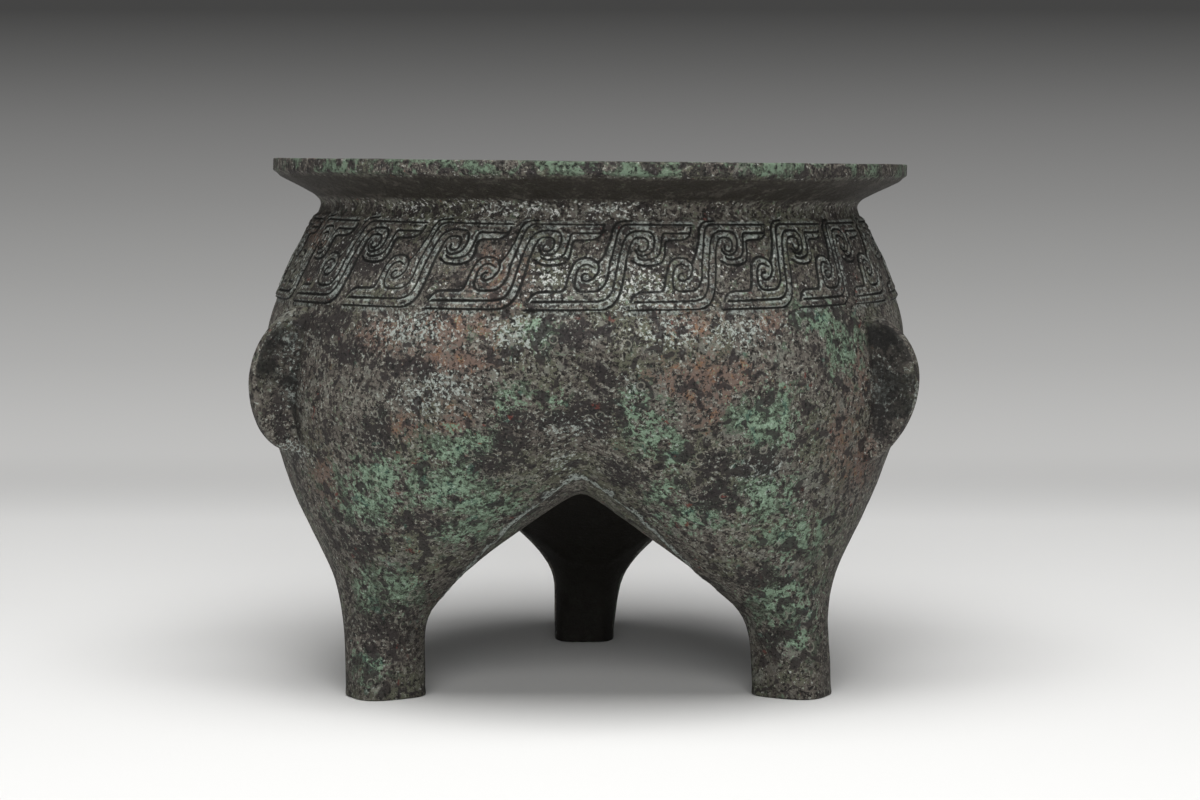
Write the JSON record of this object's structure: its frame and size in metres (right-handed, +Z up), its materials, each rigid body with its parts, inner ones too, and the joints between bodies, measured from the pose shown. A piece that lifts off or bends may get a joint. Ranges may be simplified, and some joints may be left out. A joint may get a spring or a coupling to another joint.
{
  "type": "tripod cooking vessel",
  "caption": "Cast bronze tripod cooking vessel with an everted rim, a frieze of hooked scrolls, hollow pouch lobes that run down into short feet, and a half-moon flange on each lobe.",
  "frame": {"origin": "middle of the bounding box, on the floor plane under the three feet", "axes": "+Z up, +Y towards the rear leg, +X to the viewer's right when the two front legs face the viewer"},
  "size_m": [0.1616, 0.1718, 0.1308],
  "materials": {
    "bronze": "matt dark bronze with mottled green, grey and red patina"
  },
  "bodies": {
    "root": {"li_tripod": "bronze"}
  },
  "joints": []
}
